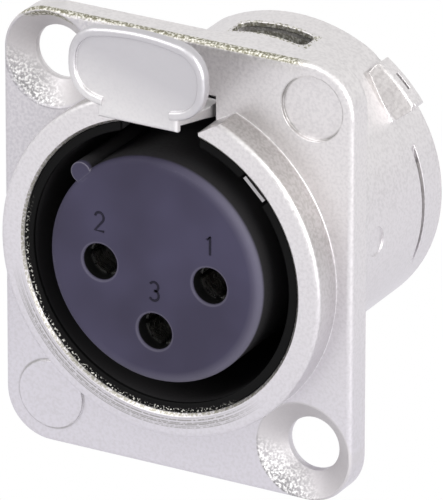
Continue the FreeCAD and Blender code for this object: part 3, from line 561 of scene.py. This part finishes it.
def moulded_plastic(name, colours, roughness):
    """Matt in front, black with painted shade behind, with painted highlights on the rims and
    painted glints along the sleeve's front.
    """
    material, tree = new_material(name)
    tones = {tone: linear(code) for tone, code in colours.items()}
    place = add(tree, "TexCoord").outputs["Object"]
    axes = axes_of(tree, place)
    grain = grains_of(tree, place, SPARK_MM)
    normal, edge = edge_mask(tree, PLASTIC_EDGE_MM)
    matt = blend_colours(tree, between(tree, grains_of(tree, place, TONE_MM), *TONE_LEVELS),
                         tones["dull"], tones["face"])
    rounded = product(tree, region(tree, axes, ROUNDED_MM),
                      rising(tree, axes["depth"], *ROUNDED_DEPTH_MM))
    face = largest(tree, rising(tree, axes["depth"], *FACE_MM), rounded)
    # Behind the face the plastic is painted black, and nearer black in the holes, as painted shade.
    shaded_behind = blend_colours(tree, rising(tree, axes["radius"], *HOLES_MM),
                             tones["black"], tones["painted_deep_shade"])
    colour = blend_colours(tree, face, shaded_behind, matt)
    sleeve_glints = product(tree, region(tree, axes, SLEEVE_GLINTS_MM), on_side(tree, place, *SLEEVE_GLINT_SIDE),
                     between(tree, grains_of(tree, place, SPECK_MM, 1.0), *SLEEVE_GLINT_LEVELS))
    # The face's edges and rims are painted lighter as painted highlights, and the sleeve's front
    # gets painted shade and glints.
    for amount, tone in ((product(tree, face, edge, EDGE_HIGHLIGHT_SHARE), "rim"),
                         (product(tree, face, painted_rim_highlights(tree, place, axes)), "rim"),
                         (region(tree, axes, SLEEVE_END_SHADE_MM), "painted_deep_shade"), (sleeve_glints, "painted_glint")):
        colour = blend_colours(tree, amount, colour, tones[tone])
    bump = add(tree, "Bump", {"Height": grain, "Strength": SPARK_STRENGTH,
                              "Distance": SPARK_DEPTH_MM * MM, "Normal": normal})
    finish_with(tree, add(tree, "BsdfPrincipled", {
        "Base Color": colour, "IOR": 1.45, "Specular IOR Level": 0.08,
        "Roughness": spread_of(tree, grain, roughness, SPARK_SPREAD),
        "Normal": bump.outputs["Normal"]}))
    return material


black_moulding = moulded_plastic("glass_filled_plastic_moulded", PLASTIC, roughness=0.5)
print("spark texture", SPARK_MM, "mm")

# %% [markdown]
# ## Contact and spring metals
#
# The contacts are turned brass with silver plate, the strip is rolled nickel silver, and the clip,
# the pin and the leaf are spring steel. Turning and rolling leave fine parallel lines, so a noise
# that is stretched along the lines changes their roughness. The lines have their real spacing, too
# fine to tell apart in the picture, where they only make the shine a little uneven.

# %% Turned and rolled metals
LINE_MM = 0.05
LINE_SPREAD = 0.08


def worked_metal(name, colour, roughness, stretch):
    """Plain metal whose roughness varies in lines; stretch is 1 across them and less along them."""
    material, tree = new_material(name)
    place = add(tree, "TexCoord").outputs["Object"]
    lined = add(tree, "Mapping", {"Vector": place, "Scale": stretch})
    lines = grains_of(tree, lined.outputs["Vector"], LINE_MM)
    finish_with(tree, add(tree, "BsdfPrincipled", {
        "Base Color": linear(colour), "Metallic": 1.0,
        "Roughness": spread_of(tree, lines, roughness, LINE_SPREAD)}))
    return material


silvered_brass = worked_metal("brass_turned_silver_plated", "#D3D1CE", 0.28, (0.1, 1.0, 0.1))
nickel_silver = worked_metal("nickel_silver_rolled", "#ABA9AA", 0.35, (1.0, 0.1, 1.0))
spring_steel = worked_metal("spring_steel_rolled", "#B9B7B4", 0.35, (0.2, 1.0, 0.2))
print("lines", LINE_MM, "mm apart")

# %% [markdown]
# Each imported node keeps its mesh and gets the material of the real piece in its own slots.

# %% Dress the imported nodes
FINISHES = {
    "housing": housing_metal, "push_latch": latch_metal,
    "insert_body": black_moulding, "contact_retainer": black_moulding,
    "contact_1": silvered_brass, "contact_2": silvered_brass, "contact_3": silvered_brass,
    "ground_contact": nickel_silver,
    "retaining_clip": spring_steel, "latch_pin": spring_steel, "latch_spring": spring_steel,
}
for name, material in FINISHES.items():
    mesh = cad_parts[name].data
    mesh.materials.clear()
    mesh.materials.append(material)
    print(name, len(mesh.polygons), "triangles")

# %% [markdown]
# ## Contact numerals
#
# The mould has the contact's number cut above each hole. In the moulding each stroke is a narrow
# dark mark, a sixth of a millimetre wide. A stroke is a flat bar carried along a path of lines and
# arcs. It is sunk into the insert's face and stands out of it by a fiftieth of a millimetre.

# %% Numeral strokes
NUMERAL_MM = (0.72, 1.32)
STROKE_MM = 0.16
STROKE_DEPTH_MM = 0.03
STROKE_SUNK_MM = 0.01
NUMERAL_ABOVE_HOLE_MM = 2.88
ARC_STEPS = 24


def arc(centre, radius, start, end):
    """Points centre + radius * (cos t, sin t) for t in degrees from start to end."""
    turn = np.radians(np.linspace(start, end, ARC_STEPS))
    return np.stack([centre[0] + radius[0] * np.cos(turn),
                     centre[1] + radius[1] * np.sin(turn)], axis=1)


def numeral_paths():
    """The numerals as lines and arcs in a box from -0.5 to 0.5 both ways."""
    one = np.array([[-0.25, 0.3], [0.08, 0.5], [0.08, -0.5]])
    two = np.concatenate([arc((0.0, 0.22), (0.45, 0.28), 165, -30), [[-0.47, -0.5], [0.5, -0.5]]])
    three = np.concatenate([arc((-0.02, 0.25), (0.44, 0.25), 150, -80),
                            arc((-0.02, -0.22), (0.48, 0.28), 80, -150)])
    return {"numeral_1": one, "numeral_2": two, "numeral_3": three}


def bar_along(path, width, thickness, face_y):
    """A bar of rectangular section: each (x, z) point of the path, moved half a width to each side
    across the path, on the plane y = face_y and a thickness in front of it."""
    step = np.gradient(path, axis=0)
    side = np.stack([-step[:, 1], step[:, 0]], axis=1)
    side /= np.linalg.norm(side, axis=1, keepdims=True)
    left, right = path + side * width / 2, path - side * width / 2
    corners = ((left, 0.0), (left, -thickness), (right, -thickness), (right, 0.0))
    return np.stack([np.stack([edge[:, 0], np.full(len(path), face_y + depth), edge[:, 1]], axis=1)
                     for edge, depth in corners], axis=1)


def grid_mesh(name, points):
    """A closed tube of quads over a grid of rings, with both ends capped."""
    rings, around = points.shape[:2]
    index = np.arange(rings * around).reshape(rings, around)
    here, following = index[:-1], index[1:]
    quads = np.stack([here, np.roll(here, -1, axis=1), np.roll(following, -1, axis=1), following],
                     axis=-1)
    faces = quads.reshape(-1, 4).tolist() + [index[0][::-1].tolist(), index[-1].tolist()]
    mesh = bpy.data.meshes.new(name)
    mesh.from_pydata(points.reshape(-1, 3).tolist(), [], faces)
    mesh.validate()
    piece = bpy.data.objects.new(name, mesh)
    bpy.context.scene.collection.objects.link(piece)
    return piece


print("numerals", " by ".join(str(size) for size in NUMERAL_MM), "mm")

# %% Place the numerals
MARKED = PLASTIC | {"face": "#262430", "dull": "#211F29", "rim": "#262430"}
marked_plastic = moulded_plastic("moulded_plastic_mark", MARKED, roughness=0.6)
face_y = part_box("insert_body")[0].y
for name, path in numeral_paths().items():
    low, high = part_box(name.replace("numeral", "contact"))
    centre = np.array([(low.x + high.x) / 2, (low.z + high.z) / 2 + NUMERAL_ABOVE_HOLE_MM * MM])
    placed = centre + path * np.array(NUMERAL_MM) * MM
    piece = grid_mesh(name, bar_along(placed, STROKE_MM * MM, STROKE_DEPTH_MM * MM,
                                      face_y + STROKE_SUNK_MM * MM))
    piece.data.materials.append(marked_plastic)
    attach(piece, "root")
    print(name, len(piece.data.polygons), "faces")

# %% [markdown]
# ## Floor and light
#
# The socket hangs in its own frame over a pale floor, as if it were held in a panel. The floor and
# the surroundings are plain white to the camera. The metal mirrors the surroundings as white, and
# the floor as part white and part lit paint. The lamps are large and soft, so a colour renders
# about as it is written.

# %% Floor
FLOOR_DROP_MM = 30.0
FLOOR_SIZE = 4.0
MIRRORED_SHARE = 0.3


def white_stage(name):
    """A pale floor that is plain white to the camera, and partly so in the metal's reflections."""
    material, tree = new_material(name)
    rays = add(tree, "LightPath").outputs
    mirrored = largest(tree, rays["Is Glossy Ray"], rays["Is Transmission Ray"])
    share = largest(tree, product(tree, mirrored, MIRRORED_SHARE), rays["Is Camera Ray"])
    paint = add(tree, "BsdfDiffuse", {"Color": linear("#F4F3F5")})
    white = add(tree, "Emission", {"Color": linear("#FFFFFF"), "Strength": 1.0})
    finish_with(tree, add(tree, "MixShader", {0: share, 1: paint.outputs[0], 2: white.outputs[0]}))
    return material


half = FLOOR_SIZE / 2
floor_z = cad_box[0][2] - FLOOR_DROP_MM * MM
floor_mesh = bpy.data.meshes.new("floor")
floor_mesh.from_pydata([(-half, -half, floor_z), (half, -half, floor_z), (half, half, floor_z),
                        (-half, half, floor_z)], [], [(0, 1, 2, 3)])
floor = bpy.data.objects.new("floor", floor_mesh)
bpy.context.scene.collection.objects.link(floor)
floor_mesh.materials.append(white_stage("white_floor"))
print("floor at", round(floor_z / MM, 1), "mm")

# %% Surroundings
ROOM_STRENGTH = 0.62

world = bpy.data.worlds.new("white_room")
bpy.context.scene.world = world
world.use_nodes = True
room_tree = world.node_tree
room_tree.nodes.clear()
rays = add(room_tree, "LightPath").outputs
seen = largest(room_tree, rays["Is Camera Ray"], rays["Is Glossy Ray"], rays["Is Transmission Ray"])
room = add(room_tree, "Background", {"Color": linear("#F2F2F6"), "Strength": ROOM_STRENGTH})
white = add(room_tree, "Background", {"Color": linear("#FFFFFF"), "Strength": 1.0})
mixed = add(room_tree, "MixShader", {0: seen, 1: room.outputs[0], 2: white.outputs[0]})
add(room_tree, "OutputWorld", {"Surface": mixed.outputs[0]})
print("the room lights at", ROOM_STRENGTH, "of white")

# %% Lamps
LAMPS = {
    "key_lamp": {"place": (-0.35, -0.55, 0.60), "size": 0.50, "power": 3.9},
    "side_lamp": {"place": (0.60, -0.20, 0.25), "size": 0.40, "power": 4.0},
}


def soft_lamp(name, place, size, power):
    """A square area lamp that looks at the origin."""
    data = bpy.data.lights.new(name, "AREA")
    data.size = size
    data.energy = power
    lamp = bpy.data.objects.new(name, data)
    bpy.context.scene.collection.objects.link(lamp)
    lamp.location = place
    across, up = math.hypot(place[0], place[1]), place[2]
    lamp.rotation_euler = (math.atan2(across, up), 0.0, math.atan2(place[0], -place[1]))
    return lamp


for name, settings in LAMPS.items():
    print(soft_lamp(name, **settings).name, settings["power"], "W")
bpy.context.scene.view_settings.view_transform = "Standard"
